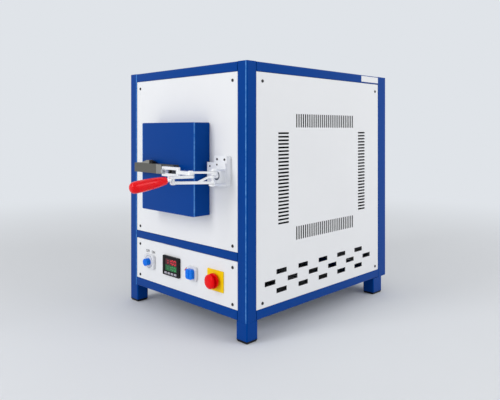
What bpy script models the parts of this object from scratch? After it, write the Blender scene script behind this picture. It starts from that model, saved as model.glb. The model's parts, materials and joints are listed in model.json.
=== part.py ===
"""Bench-top laboratory chamber furnace: framed cabinet, muffle, swing door, toggle clamp, controls.

Metres, +Z up, the front faces -Y. The origin is under the middle of the whole part, clamp handle included.
"Stand" below is a distance out of the frame's front plane, towards whoever uses the furnace.
"""

import math

import bmesh
import bpy
from mathutils import Matrix, Vector

mm = 0.001

# Gaps and cuts
gap = 0.3 * mm
overrun = 4 * mm
weld = 0.01 * mm

# Cabinet
cabinet_width = 452 * mm
cabinet_depth = 568 * mm
cabinet_height = 615.5 * mm
leg_height = 45.5 * mm
tube_side = 30 * mm
rear_post_depth = 40 * mm
tube_wall = 2 * mm
tube_corner = 2.5 * mm
top_rail_height = 22 * mm
middle_rail_height = 20 * mm
bottom_rail_height = 22 * mm
control_bay_height = 107 * mm

# Legs and their plastic caps
leg_side = 34 * mm
rear_leg_depth = 43 * mm
rear_leg_inset = 22 * mm
cap_flange = 5.5 * mm
cap_taper = 2.5 * mm
cap_plug_height = 12 * mm
cap_chamfer = 0.8 * mm

# Sheet panels, seated in the frame on welded tabs
panel_thickness = 2 * mm
panel_recess = 1 * mm
tab_side = 26 * mm
tab_thickness = 2 * mm
tab_weld = 0.8 * mm
rail_tab_shares = (0.15, 0.85)
shelf_thickness = 2 * mm

# Side panel slots: a rectangle of short slots round the chamber's level
slot_length = 32 * mm
front_slot_length = 37 * mm
slot_thickness = 4.2 * mm
slot_pitch = 8.3 * mm
stack_slots = 26
stack_top = 457 * mm
stack_setback = 121 * mm
stack_spacing = 322.5 * mm
row_slots = 29
row_setback = 168.5 * mm
row_top_height = 486.5 * mm
row_bottom_height = 219.5 * mm

# Side panel vent holes, three staggered rows near the base
vent_length = 35.5 * mm
vent_height = 11.2 * mm
vent_pitch = 78.5 * mm
vent_setback = 114 * mm
vent_row_pitch = 21.7 * mm
vent_low_height = 97 * mm
vents_per_outer_row = 5

# Muffle: one fibre block with a square chamber right through it, closed by a rear board
chamber_side_wall = 121 * mm
chamber_height = 150 * mm
chamber_centre_height = 374.5 * mm
chamber_depth = 320 * mm
muffle_side_clearance = 3 * mm
muffle_roof_share = 0.5644
rear_board_thickness = 105 * mm
hearth_thickness = 8 * mm
hearth_margin = 5 * mm
heater_wire = 4 * mm
heater_pitch = 26 * mm
heater_height = 112 * mm
heater_hairpins = 5
heater_bend_steps = 4
thermocouple_radius = 4 * mm
thermocouple_reach = 40 * mm
thermocouple_head_side = 34 * mm
thermocouple_head_length = 26 * mm
thermocouple_rise = 45 * mm

# Electrics on the bottom panel
gear_plate = (150 * mm, 120 * mm, 3 * mm)
gear_setback = 330 * mm
sink_size = (60 * mm, 80 * mm, 6 * mm)
fin_height = 28 * mm
fin_thickness = 2.4 * mm
fin_pitch = 8.4 * mm
fin_count = 7
relay_size = (45 * mm, 58 * mm, 22 * mm)
terminal_size = (44 * mm, 70 * mm, 34 * mm)
terminal_ways = 5
terminal_groove = 2 * mm
terminal_groove_depth = 12 * mm
gear_half_spacing = 37 * mm

# Cable gland on the rear panel
gland_bore = 5 * mm
gland_nut_radius = 12.5 * mm
gland_dome_radius = 9.5 * mm
gland_thread_radius = 9.8 * mm
gland_flange_length = 7 * mm
gland_nut_length = 16 * mm
gland_inside_length = 12 * mm
gland_rise = 123.5 * mm
gland_inset = 76 * mm
gland_segments = 24

# Door: a folded shell over a fibre block whose plug enters the doorway
door_side_room = 93 * mm
door_height = 215 * mm
door_stand = 45 * mm
door_seat = 0.5 * mm
door_sheet = 2 * mm
door_edge = 3 * mm
plug_depth = 10 * mm
plug_side_clearance = 7 * mm
plug_height_clearance = 3 * mm

# Door arm: a channel across the door, wrapped round its hinge side to the pin
arm_drop = 14 * mm
arm_height = 22.5 * mm
arm_stand = 62 * mm
arm_wall = 2.5 * mm
arm_end_inset = 57 * mm
arm_mouth_length = 68 * mm
arm_corner_inset = 3 * mm
hinge_outset = 12 * mm
hinge_stand = 24 * mm
knuckle_radius = 7 * mm
pin_radius = 4 * mm
ear_thickness = 5 * mm
hinge_ear_radius = 8 * mm
hinge_plate_thickness = 3 * mm
hinge_plate_width = 34 * mm
hinge_plate_margin = 12 * mm
pin_head_height = 3 * mm

# Clamp mounting block and base
clamp_drop = 13.75 * mm
block_offset = -11.8 * mm
block_rise = 12.25 * mm
block_width = 42 * mm
block_height = 69 * mm
block_thickness = 13 * mm
block_corner = 5 * mm
flange_left = 52.8 * mm
flange_right = 8.7 * mm
flange_rise = 6 * mm
flange_height = 49.5 * mm
flange_thickness = 3 * mm
base_ear_thickness = 4 * mm
base_ear_radius = 8 * mm
clamp_span = 35.5 * mm
layer_gap = 0.7 * mm
clamp_pin_radius = 3 * mm
rivet_head_radius = 5 * mm
rivet_head_height = 1.6 * mm
open_pivot_clearance = 1 * mm

# Clamp pivots: the arm's pivot is this far in from the post, the others are (x from it, stand)
clamp_inset = 30.2 * mm
arm_pivot_offset = (0, 41.0 * mm)
link_pivot_offset = (1.6 * mm, 47.3 * mm)
handle_pivot_offset = (-36.7 * mm, 76.4 * mm)
link_pin_offset = (-50.5 * mm, 113.6 * mm)
beam_root_offset = (-81.8 * mm, 75 * mm)
spindle_offset = -132.8 * mm
spindle_drop = 4.3 * mm
spindle_stand_top = 84 * mm

# Clamp moving pieces
clamp_arm_radius = 8 * mm
clamp_arm_plate = 4 * mm
clamp_arm_thickness = 8 * mm
neck_radius = 6 * mm
beam_radius = 4 * mm
beam_height = 22 * mm
slot_clearance = 0.4 * mm
boss_width = 14 * mm
link_radius = 7 * mm
link_thickness = 5.5 * mm
brace_foot = 52 * mm
brace_top = 76 * mm
brace_thickness = 5 * mm
brace_width = 9 * mm
handle_radius = 7.5 * mm
handle_thickness = 5.6 * mm
spindle_radius = 4 * mm
spindle_pad_radius = 6 * mm
spindle_pad_length = 3.2 * mm
spindle_nut_radius = 6.2 * mm
low_nut_length = 3.2 * mm
spindle_nut_length = 3.4 * mm
buffer_length = 44 * mm
buffer_proud = 2 * mm
arc_steps = 8

# Handle and grip
handle_end_offset = (-48.3 * mm, 121 * mm)
shank_start_stand = 122 * mm
grip_start_stand = 135 * mm
grip_reach = 222 * mm
grip_radius = 12.7 * mm
grip_segments = 24
shank_drop = 3.9 * mm
grip_droop = math.radians(6.7)
shank_radius = 4.5 * mm
shank_length = 70 * mm
# Shares of the grip's radius and length, from its outer end to the handle
grip_shares = (
    (0.0, 1.0), (0.4, 0.993), (0.66, 0.978), (0.83, 0.953), (0.94, 0.91), (0.99, 0.85), (1.0, 0.76),
    (0.99, 0.6), (0.95, 0.46), (0.89, 0.32), (0.82, 0.2), (0.75, 0.1), (0.68, 0.02), (0.62, 0.0),
)

# Control panel pieces: centres across, as shares of the way to a post, and up
power_share = -0.6735
controller_share = -0.2041
selector_share = 0.2219
stop_share = 0.6327
power_height = 120.5 * mm
controller_centre = 123.5 * mm
selector_height = 121.5 * mm
stop_height = 120.5 * mm

# Rotary switches
bezel_thickness = 6.5 * mm
bezel_corner = 5 * mm
bezel_edge = 1.2 * mm
power_bezel_width = 42 * mm
power_bezel_height = 36 * mm
power_knob_radius = 9.3 * mm
power_knob_length = 12 * mm
selector_bezel_side = 33 * mm
selector_knob_side = 23.5 * mm
selector_knob_length = 8.5 * mm
selector_knob_corner = 5 * mm
barrel_radius = 11 * mm
barrel_length = 14 * mm
switch_body_side = 30 * mm
switch_body_length = 38 * mm
knob_shaft_radius = 3 * mm
knob_shaft_length = 12 * mm
knob_ridge_width = 3 * mm
knob_ridge_height = 1 * mm
knob_segments = 24

# Temperature controller
controller_width = 67 * mm
controller_height = 48.5 * mm
controller_stand = 4 * mm
controller_corner = 2 * mm
controller_body_width = 61 * mm
controller_body_height = 43 * mm
controller_body_length = 70 * mm
window_width = 48 * mm
window_height = 32 * mm
window_rise = 2.5 * mm
window_depth = 1 * mm
key_count = 4
key_width = 9 * mm
key_height = 5 * mm
key_stand = 1.4 * mm
key_stem = 3 * mm
key_pitch = 13 * mm
key_drop = 18 * mm
key_travel = 0.8 * mm

# Emergency stop
stop_plate_width = 55 * mm
stop_plate_height = 48 * mm
stop_plate_thickness = 2 * mm
stop_plate_corner = 2 * mm
stop_travel = 4 * mm
stem_radius = 8 * mm
stem_inside_length = 12 * mm
stem_collar_radius = 17.5 * mm
stem_collar_length = 5 * mm
stem_rest_clearance = 0.6 * mm
stop_head_radius = 17.5 * mm
stop_head_length = 12 * mm
stop_spigot_radius = 4 * mm
stop_spigot_length = 7 * mm
stop_segments = 28
# Shares of the head's radius and length, from the middle of its face to its back
stop_head_shares = (
    (0.0, 1.0), (0.35, 0.98), (0.63, 0.92), (0.83, 0.82), (0.93, 0.7), (0.95, 0.58),
    (0.92, 0.48), (0.84, 0.41), (0.6, 0.37), (0.6, 0.0),
)

# Places worked out from the sizes above
rear_reach = gland_nut_length + gland_flange_length - panel_recess
front_y = grip_reach - (grip_reach + cabinet_depth + rear_reach) / 2
rear_y = front_y + cabinet_depth
half_width = cabinet_width / 2
inner_half = half_width - tube_side
chamber_width = 2 * (inner_half - chamber_side_wall)
door_half = inner_half - door_side_room
hinge_x = -(door_half + hinge_outset)
arm_corner = hinge_x + arm_corner_inset
arm_free_end = door_half - arm_end_inset
arm_open_from = arm_free_end - arm_mouth_length
power_x = power_share * inner_half
controller_x = controller_share * inner_half
selector_x = selector_share * inner_half
stop_x = stop_share * inner_half
gland_side = half_width - gland_inset
clamp_height = chamber_centre_height - clamp_drop


def beside_pivot(offset):
    """The (x, stand) of a clamp place given from the arm's pivot."""
    return (inner_half - clamp_inset + offset[0], offset[1])


arm_pivot = beside_pivot(arm_pivot_offset)
link_pivot = beside_pivot(link_pivot_offset)
handle_pivot = beside_pivot(handle_pivot_offset)
link_pin = beside_pivot(link_pin_offset)
beam_root = beside_pivot(beam_root_offset)
handle_end = beside_pivot(handle_end_offset)
spindle_x = arm_pivot[0] + spindle_offset
top_rail_low = cabinet_height - top_rail_height
control_low = leg_height + bottom_rail_height
middle_rail_low = control_low + control_bay_height
middle_rail_high = middle_rail_low + middle_rail_height
panel_front_y = front_y + panel_recess
panel_back_y = panel_front_y + panel_thickness
inner_front_y = front_y + tube_side
inner_rear_y = rear_y - rear_post_depth
shelf_high = middle_rail_high
chamber_low = chamber_centre_height - chamber_height / 2
chamber_high = chamber_centre_height + chamber_height / 2
muffle_front_y = panel_back_y + gap
muffle_rear_y = muffle_front_y + chamber_depth
board_rear_y = muffle_rear_y + gap + rear_board_thickness
clamp_low = clamp_height - clamp_span / 2
clamp_high = clamp_height + clamp_span / 2
bottom_panel_low = leg_height + panel_recess + tab_thickness + gap
top_panel_low = cabinet_height - panel_recess - panel_thickness


def out(stand):
    """The y of a place that stands out of the frame's front plane."""
    return front_y - stand


# Scene and collections

for old in list(bpy.data.objects):
    bpy.data.objects.remove(old, do_unlink=True)


def collection(name):
    found = bpy.data.collections.new(name)
    bpy.context.scene.collection.children.link(found)
    return found


parts = collection("furnace")
cutters = collection("cutters")


# Materials

def material(name, colour, roughness, metallic=0.0):
    made = bpy.data.materials.new(name)
    made.use_nodes = True
    shader = made.node_tree.nodes["Principled BSDF"]
    shader.inputs["Base Color"].default_value = (*colour, 1.0)
    shader.inputs["Roughness"].default_value = roughness
    shader.inputs["Metallic"].default_value = metallic
    made.diffuse_color = (*colour, 1.0)
    return made


blue_paint = material("blue_paint", (0.005, 0.065, 0.30), 0.4)
white_paint = material("white_paint", (0.80, 0.82, 0.84), 0.45)
black_plastic = material("black_plastic", (0.015, 0.015, 0.017), 0.45)
zinc = material("zinc", (0.75, 0.76, 0.78), 0.3, 1.0)
grey_steel = material("grey_steel", (0.22, 0.21, 0.20), 0.5, 0.8)
plain_steel = material("plain_steel", (0.55, 0.56, 0.58), 0.4, 1.0)
fibre = material("fibre", (0.85, 0.83, 0.78), 0.95)
ceramic = material("ceramic", (0.70, 0.66, 0.58), 0.8)
heater_alloy = material("heater_alloy", (0.18, 0.16, 0.15), 0.6, 0.9)
red_grip = material("red_grip", (0.85, 0.004, 0.012), 0.25)
red_button = material("red_button", (0.80, 0.005, 0.01), 0.3)
yellow_plate = material("yellow_plate", (0.95, 0.60, 0.0), 0.4)
blue_knob = material("blue_knob", (0.01, 0.20, 0.80), 0.3)
grey_plastic = material("grey_plastic", (0.62, 0.64, 0.66), 0.4)


# Modelling helpers

def add(name, mesh, surface, home, location=(0, 0, 0)):
    made = bpy.data.objects.new(name, mesh)
    made.location = location
    home.objects.link(made)
    if surface:
        mesh.materials.append(surface)
    if home is cutters:
        made.hide_render = True
        made.display_type = "WIRE"
    return made


def box_mesh(name, size):
    bm = bmesh.new()
    bmesh.ops.create_cube(bm, size=1)
    bmesh.ops.scale(bm, vec=size, verts=bm.verts)
    mesh = bpy.data.meshes.new(name)
    bm.to_mesh(mesh)
    bm.free()
    return mesh


def box(name, low, high, surface=None, home=None):
    """A box between two corners; without a surface it is a cutter."""
    low, high = Vector(low), Vector(high)
    home = home or (parts if surface else cutters)
    return add(name, box_mesh(name, high - low), surface, home, (low + high) / 2)


def turn_to(axis):
    """Turns a shape made along +Z to lie along an axis."""
    return Vector((0, 0, 1)).rotation_difference(Vector(axis)).to_matrix().to_4x4()


def rod(name, start, end, radius, surface=None, segments=16, home=None):
    """A plain cylinder between two points; without a surface it is a cutter."""
    start, end = Vector(start), Vector(end)
    run = end - start
    bm = bmesh.new()
    bmesh.ops.create_cone(
        bm, cap_ends=True, segments=segments, radius1=radius, radius2=radius, depth=run.length
    )
    bmesh.ops.transform(bm, matrix=turn_to(run.normalized()), verts=bm.verts)
    mesh = bpy.data.meshes.new(name)
    bm.to_mesh(mesh)
    bm.free()
    made = add(name, mesh, surface, home or (parts if surface else cutters), (start + end) / 2)
    round_off(made)
    return made


def round_off(made, angle=40):
    made.data.shade_smooth()
    made.data.set_sharp_from_angle(angle=math.radians(angle))


def cut(target, *tools):
    for tool in tools:
        step = target.modifiers.new("cut_" + tool.name, "BOOLEAN")
        step.operation = "DIFFERENCE"
        step.object = tool
        step.solver = "EXACT"


def join(target, *others):
    for other in others:
        step = target.modifiers.new("join_" + other.name, "BOOLEAN")
        step.operation = "UNION"
        step.object = other
        step.solver = "EXACT"


def bevel(target, width, segments=2, angle=60):
    step = target.modifiers.new("edges", "BEVEL")
    step.width = width
    step.segments = segments
    step.limit_method = "ANGLE"
    step.angle_limit = math.radians(angle)


def bevel_along(mesh, axis, width, segments=2):
    """Rounds only the edges that run along one axis of a box mesh."""
    bm = bmesh.new()
    bm.from_mesh(mesh)
    along = []
    for edge in bm.edges:
        run = (edge.verts[1].co - edge.verts[0].co).normalized()
        if abs(run[axis]) > 0.99:
            along.append(edge)
    bmesh.ops.bevel(bm, geom=along, offset=width, segments=segments, affect="EDGES", profile=0.5)
    bm.to_mesh(mesh)
    bm.free()


def shell(name, low, high, wall, surface, axis, open_low=True, open_high=True, corner=0.0, home=None):
    """A box of sheet with its ends open along an axis, its outer faces where low and high say."""
    made = box(name, low, high, surface, home)
    bm = bmesh.new()
    bm.from_mesh(made.data)
    ends = []
    for face in bm.faces:
        if (face.normal[axis] < -0.9 and open_low) or (face.normal[axis] > 0.9 and open_high):
            ends.append(face)
    bmesh.ops.delete(bm, geom=ends, context="FACES_ONLY")
    bm.to_mesh(made.data)
    bm.free()
    if corner:
        bevel_along(made.data, axis, corner)
    thick = made.modifiers.new("wall", "SOLIDIFY")
    thick.thickness = wall
    thick.offset = -1
    thick.use_even_offset = True
    return made


def plate(name, outline, low, high, surface=None, home=None):
    """A flat outline of (x, y) points raised between two heights, as a mesh."""
    curve = bpy.data.curves.new(name, "CURVE")
    curve.dimensions = "2D"
    curve.fill_mode = "BOTH"
    curve.extrude = (high - low) / 2
    line = curve.splines.new("POLY")
    line.points.add(len(outline) - 1)
    for point, (x, y) in zip(line.points, outline):
        point.co = (x, y, 0, 1)
    line.use_cyclic_u = True
    drawn = bpy.data.objects.new(name + "_outline", curve)
    bpy.context.scene.collection.objects.link(drawn)
    bpy.context.view_layer.update()
    evaluated = drawn.evaluated_get(bpy.context.evaluated_depsgraph_get())
    mesh = bpy.data.meshes.new_from_object(evaluated)
    bpy.data.objects.remove(drawn, do_unlink=True)
    bm = bmesh.new()
    bm.from_mesh(mesh)
    bmesh.ops.remove_doubles(bm, verts=bm.verts, dist=weld)
    bmesh.ops.recalc_face_normals(bm, faces=bm.faces)
    bm.to_mesh(mesh)
    bm.free()
    mesh.name = name
    mesh.materials.clear()
    made = add(name, mesh, surface, home or (parts if surface else cutters), (0, 0, (low + high) / 2))
    round_off(made)
    return made


def strap(first, last, radius, steps=arc_steps):
    """The outline of a bar with round ends between two (x, stand) places."""
    a = Vector((first[0], out(first[1])))
    b = Vector((last[0], out(last[1])))
    heading = math.atan2(b.y - a.y, b.x - a.x)
    points = []
    for centre, start in ((b, heading - math.pi / 2), (a, heading + math.pi / 2)):
        for step in range(steps + 1):
            angle = start + math.pi * step / steps
            points.append((centre.x + radius * math.cos(angle), centre.y + radius * math.sin(angle)))
    return points


def rounded_rectangle(centre, width, height, corner, steps=4):
    """Points of a rectangle with round corners, anticlockwise."""
    points = []
    places = ((1, 1, 0), (-1, 1, 90), (-1, -1, 180), (1, -1, 270))
    for side, level, start in places:
        middle_x = centre[0] + side * (width / 2 - corner)
        middle_y = centre[1] + level * (height / 2 - corner)
        for step in range(steps + 1):
            angle = math.radians(start + 90 * step / steps)
            points.append((middle_x + corner * math.cos(angle), middle_y + corner * math.sin(angle)))
    return points


def face_plate(
    name, centre_x, centre_z, width, height, corner, stand_low, stand_high, surface=None, home=None
):
    """A round-cornered plate that lies flat against the front, between two stands."""
    outline = rounded_rectangle((0, 0), width, height, corner)
    made = plate(name, outline, stand_low, stand_high, surface, home)
    spin = Matrix.Rotation(math.radians(90), 4, "X")
    made.data.transform(Matrix.Translation((0, 0, (stand_low + stand_high) / 2)))
    made.data.transform(spin)
    made.location = (centre_x, front_y, centre_z)
    return made


def turned(name, profile, axis_point, axis, surface, segments, ring=False):
    """A Screw-turned solid: profile is (radius, height) down the outer side, axis_point its zero height."""
    mesh = bpy.data.meshes.new(name)
    points = [(radius, 0, height) for radius, height in profile]
    edges = [(index, index + 1) for index in range(len(points) - 1)]
    if ring:
        edges.append((len(points) - 1, 0))
    mesh.from_pydata(points, edges, [])
    made = add(name, mesh, surface, parts if surface else cutters, axis_point)
    made.rotation_mode = "QUATERNION"
    made.rotation_quaternion = Vector((0, 0, 1)).rotation_difference(Vector(axis))
    spin = made.modifiers.new("turn", "SCREW")
    spin.angle = math.tau
    spin.steps = segments
    spin.render_steps = segments
    spin.axis = "Z"
    spin.use_merge_vertices = True
    spin.merge_threshold = weld
    spin.use_smooth_shade = True
    return made


# Frame

def post(name, side, low_y, high_y, tabs):
    """An upright square tube, closed on top, with the tabs that its panels screw to."""
    inner_x = side * inner_half
    outer_x = side * half_width
    made = shell(
        name,
        (min(inner_x, outer_x), low_y, leg_height + gap),
        (max(inner_x, outer_x), high_y, cabinet_height),
        tube_wall, blue_paint, axis=2, open_high=False, corner=tube_corner,
    )
    for index, (low, high) in enumerate(tabs):
        join(made, box(f"{name}_tab_{index}", low, high))
    return made


def front_tab(side, low_z):
    """A tab behind a front sheet, welded to the inner side of a front post."""
    near = side * (inner_half + tab_weld)
    far = side * (inner_half - tab_side)
    y = panel_back_y + gap
    return (min(near, far), y, low_z), (max(near, far), y + tab_thickness, low_z + tab_side)


def rear_tab(side, low_z):
    near = side * (inner_half + tab_weld)
    far = side * (inner_half - tab_side)
    y = rear_y - panel_recess - panel_thickness - gap
    return (min(near, far), y - tab_thickness, low_z), (max(near, far), y, low_z + tab_side)


def side_tab(side, low_z, front):
    """A tab behind a side sheet, welded to a post's rear or front side."""
    x = side * (half_width - panel_recess - panel_thickness - gap)
    far_x = x - side * tab_thickness
    if front:
        near_y, far_y = inner_front_y - tab_weld, inner_front_y + tab_side
    else:
        near_y, far_y = inner_rear_y - tab_side, inner_rear_y + tab_weld
    return (min(x, far_x), near_y, low_z), (max(x, far_x), far_y, low_z + tab_side)


def shelf_tab(side, front):
    """A level tab that carries a corner of the shelf."""
    outer = side * (half_width - panel_recess - panel_thickness - gap)
    inner = side * inner_half
    high_z = shelf_high - shelf_thickness - gap
    if front:
        near_y, far_y = inner_front_y - tab_weld, inner_front_y + tab_side
    else:
        near_y, far_y = inner_rear_y - tab_side, inner_rear_y + tab_weld
    return (min(inner, outer), near_y, high_z - tab_thickness), (max(inner, outer), far_y, high_z)


side_tab_levels = (control_low + gap, top_rail_low - tab_side - gap)
front_tab_levels = (
    control_low + gap,
    middle_rail_low - tab_side - gap,
    middle_rail_high + gap,
    top_rail_low - tab_side - gap,
)

for side, side_name in ((-1, "left"), (1, "right")):
    front_tabs = [front_tab(side, level) for level in front_tab_levels]
    front_tabs += [side_tab(side, level, True) for level in side_tab_levels]
    front_tabs.append(shelf_tab(side, True))
    post("post_front_" + side_name, side, front_y, inner_front_y, front_tabs)
    rear_tabs = [rear_tab(side, level) for level in side_tab_levels]
    rear_tabs += [side_tab(side, level, False) for level in side_tab_levels]
    rear_tabs.append(shelf_tab(side, False))
    post("post_rear_" + side_name, side, inner_rear_y, rear_y, rear_tabs)


def cross_rail(name, low_y, high_y, low_z, high_z):
    """A rail from the left post to the right one."""
    reach = inner_half - gap
    return shell(
        name, (-reach, low_y, low_z), (reach, high_y, high_z),
        tube_wall, blue_paint, axis=0, corner=tube_corner,
    )


def side_rail(name, side, low_z, high_z, tab_high):
    """A rail from a front post to a rear one, with two tabs that carry a level sheet."""
    inner_x = side * inner_half
    outer_x = side * half_width
    near = side * (inner_half + tab_weld)
    far = side * (inner_half - tab_side)
    made = shell(
        name,
        (min(inner_x, outer_x), inner_front_y + gap, low_z),
        (max(inner_x, outer_x), inner_rear_y - gap, high_z),
        tube_wall, blue_paint, axis=1, corner=tube_corner,
    )
    for index, share in enumerate(rail_tab_shares):
        middle = inner_front_y + share * (inner_rear_y - inner_front_y)
        tab = box(
            f"{name}_tab_{index}",
            (min(near, far), middle - tab_side / 2, tab_high - tab_thickness),
            (max(near, far), middle + tab_side / 2, tab_high),
        )
        join(made, tab)


cross_rail("rail_front_top", front_y, inner_front_y, top_rail_low, cabinet_height)
cross_rail("rail_front_middle", front_y, inner_front_y, middle_rail_low, middle_rail_high)
cross_rail("rail_front_bottom", front_y, inner_front_y, leg_height + gap, control_low)
cross_rail("rail_rear_top", inner_rear_y, rear_y, top_rail_low, cabinet_height)
cross_rail("rail_rear_bottom", inner_rear_y, rear_y, leg_height + gap, control_low)
for side, side_name in ((-1, "left"), (1, "right")):
    side_rail("rail_" + side_name + "_top", side, top_rail_low, cabinet_height, top_panel_low - gap)
    side_rail("rail_" + side_name + "_bottom", side, leg_height + gap, control_low, bottom_panel_low - gap)


# Legs and caps

def taper(made, inset):
    """Draw the underside of a box in on all four sides."""
    for vertex in made.data.vertices:
        if vertex.co.z < 0:
            vertex.co.x -= math.copysign(inset, vertex.co.x)
            vertex.co.y -= math.copysign(inset, vertex.co.y)


def leg(side, side_name, end_name, low_y, high_y):
    inner_x = side * (half_width - leg_side)
    outer_x = side * half_width
    low_x, high_x = min(inner_x, outer_x), max(inner_x, outer_x)
    shell(
        f"leg_{end_name}_{side_name}",
        (low_x, low_y, cap_flange + gap),
        (high_x, high_y, leg_height),
        tube_wall, blue_paint, axis=2, corner=tube_corner,
    )
    cap_name = f"foot_cap_{end_name}_{side_name}"
    cap = box(cap_name, (low_x, low_y, 0), (high_x, high_y, cap_flange), black_plastic)
    taper(cap, cap_taper)
    bevel(cap, cap_chamfer)
    inset = tube_wall + gap
    plug_low = (low_x + inset, low_y + inset, cap_flange / 2)
    plug_high = (high_x - inset, high_y - inset, cap_flange + cap_plug_height)
    plug = box(f"{cap.name}_plug", plug_low, plug_high)
    bevel_along(plug.data, 2, tube_corner)
    join(cap, plug)


for side, side_name in ((-1, "left"), (1, "right")):
    leg(side, side_name, "front", front_y, front_y + leg_side)
    rear_leg_high = rear_y - rear_leg_inset
    leg(side, side_name, "rear", rear_leg_high - rear_leg_depth, rear_leg_high)


# Panels

def front_sheet(name, low_z, high_z):
    reach = inner_half - gap
    return box(
        name, (-reach, panel_front_y, low_z + gap), (reach, panel_back_y, high_z - gap), white_paint
    )


front_panel = front_sheet("front_panel", middle_rail_high, top_rail_low)
doorway = box(
    "doorway",
    (-chamber_width / 2, panel_front_y - overrun, chamber_low),
    (chamber_width / 2, panel_back_y + overrun, chamber_high),
)
cut(front_panel, doorway)
control_panel = front_sheet("control_panel", control_low, middle_rail_low)


def slot_boxes(side):
    """Every slot and vent hole of one side sheet, as one set of cutting boxes."""
    bm = bmesh.new()
    x = side * (half_width - panel_recess - panel_thickness / 2)
    through = panel_thickness + 2 * overrun

    def hole(setback, height, length, thickness):
        place = Matrix.Translation((x, front_y + setback, height))
        size = Matrix.Diagonal((through, length, thickness, 1))
        bmesh.ops.create_cube(bm, size=1, matrix=place @ size)

    for index in range(stack_slots):
        height = stack_top - index * slot_pitch
        hole(stack_setback, height, front_slot_length, slot_thickness)
        hole(stack_setback + stack_spacing, height, slot_length, slot_thickness)
    for index in range(row_slots):
        setback = row_setback + index * slot_pitch
        hole(setback, row_top_height, slot_thickness, slot_length)
        hole(setback, row_bottom_height, slot_thickness, slot_length)
    for index in range(vents_per_outer_row):
        setback = vent_setback + index * vent_pitch
        hole(setback, vent_low_height, vent_length, vent_height)
        hole(setback, vent_low_height + 2 * vent_row_pitch, vent_length, vent_height)
    for index in range(vents_per_outer_row + 1):
        setback = vent_setback + (index - 1 / 2) * vent_pitch
        hole(setback, vent_low_height + vent_row_pitch, vent_length, vent_height)
    mesh = bpy.data.meshes.new("slots")
    bm.to_mesh(mesh)
    bm.free()
    return add(f"slots_{side}", mesh, None, cutters)


for side, side_name in ((-1, "left"), (1, "right")):
    outer = side * (half_width - panel_recess)
    inner = outer - side * panel_thickness
    sheet = box(
        side_name + "_panel",
        (min(outer, inner), inner_front_y + gap, control_low + gap),
        (max(outer, inner), inner_rear_y - gap, top_rail_low - gap),
        white_paint,
    )
    cut(sheet, slot_boxes(side))

rear_panel = box(
    "rear_panel",
    (-inner_half + gap, rear_y - panel_recess - panel_thickness, control_low + gap),
    (inner_half - gap, rear_y - panel_recess, top_rail_low - gap),
    white_paint,
)
box(
    "top_panel",
    (-inner_half + gap, inner_front_y + gap, top_panel_low),
    (inner_half - gap, inner_rear_y - gap, top_panel_low + panel_thickness),
    white_paint,
)
box(
    "bottom_panel",
    (-inner_half + gap, inner_front_y + gap, bottom_panel_low),
    (inner_half - gap, inner_rear_y - gap, bottom_panel_low + panel_thickness),
    plain_steel,
)
shelf_reach = half_width - panel_recess - panel_thickness - gap
box(
    "shelf",
    (-shelf_reach, inner_front_y + gap, shelf_high - shelf_thickness),
    (shelf_reach, inner_rear_y - gap, shelf_high),
    plain_steel,
)


# Muffle and what it holds

muffle_half = inner_half - tab_side - muffle_side_clearance
muffle_low = shelf_high + gap
muffle_high = chamber_high + muffle_roof_share * (top_panel_low - chamber_high)
muffle = box(
    "muffle", (-muffle_half, muffle_front_y, muffle_low), (muffle_half, muffle_rear_y, muffle_high), fibre
)
chamber = box(
    "chamber",
    (-chamber_width / 2, muffle_front_y - overrun, chamber_low),
    (chamber_width / 2, muffle_rear_y + overrun, chamber_high),
)
cut(muffle, chamber)

thermocouple_height = chamber_centre_height + thermocouple_rise
rear_board = box(
    "rear_insulation",
    (-muffle_half, muffle_rear_y + gap, muffle_low),
    (muffle_half, board_rear_y, muffle_high),
    fibre,
)
sheath_way = rod(
    "sheath_way",
    (0, muffle_rear_y - overrun, thermocouple_height),
    (0, board_rear_y + overrun, thermocouple_height),
    thermocouple_radius + gap,
)
cut(rear_board, sheath_way)

hearth_half = chamber_width / 2 - hearth_margin
box(
    "hearth_plate",
    (-hearth_half, muffle_front_y + plug_depth + hearth_margin, chamber_low + gap),
    (hearth_half, muffle_rear_y - hearth_margin, chamber_low + gap + hearth_thickness),
    ceramic,
)

thermocouple = rod(
    "thermocouple",
    (0, muffle_rear_y - thermocouple_reach, thermocouple_height),
    (0, board_rear_y + thermocouple_head_length / 2, thermocouple_height),
    thermocouple_radius,
    ceramic,
)
head_half = thermocouple_head_side / 2
join(
    thermocouple,
    box(
        "thermocouple_head",
        (-head_half, board_rear_y + gap, thermocouple_height - head_half),
        (head_half, board_rear_y + gap + thermocouple_head_length, thermocouple_height + head_half),
    ),
)


def heater(name, side):
    """A hairpin of heating wire along one chamber wall."""
    x = side * (chamber_width / 2 - heater_wire / 2 - gap)
    radius = heater_pitch / 2
    low = chamber_low + (chamber_height - heater_height) / 2 + hearth_thickness
    high = low + heater_height - hearth_thickness
    lines = heater_hairpins * 2
    first_y = muffle_rear_y - hearth_margin - (lines - 1 / 2) * heater_pitch
    points = []
    for line in range(lines):
        y = first_y + line * heater_pitch
        rising = line % 2 == 0
        end_level = high - radius if rising else low + radius
        if line == 0:
            points.append((y, low))
        heading = 1 if rising else -1
        if line == lines - 1:
            points.append((y, low))
            break
        for step in range(heater_bend_steps + 1):
            angle = math.pi * (1 - step / heater_bend_steps)
            level = end_level + heading * radius * math.sin(angle)
            points.append((y + radius + radius * math.cos(angle), level))
    curve = bpy.data.curves.new(name, "CURVE")
    curve.dimensions = "3D"
    curve.bevel_depth = heater_wire / 2
    curve.bevel_resolution = 1
    curve.use_fill_caps = True
    wire = curve.splines.new("POLY")
    wire.points.add(len(points) - 1)
    for point, (y, z) in zip(wire.points, points):
        point.co = (x, y, z, 1)
    made = bpy.data.objects.new(name, curve)
    curve.materials.append(heater_alloy)
    parts.objects.link(made)
    return made


heater("heater_left", -1)
heater("heater_right", 1)


# Electrics on the bottom panel

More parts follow.
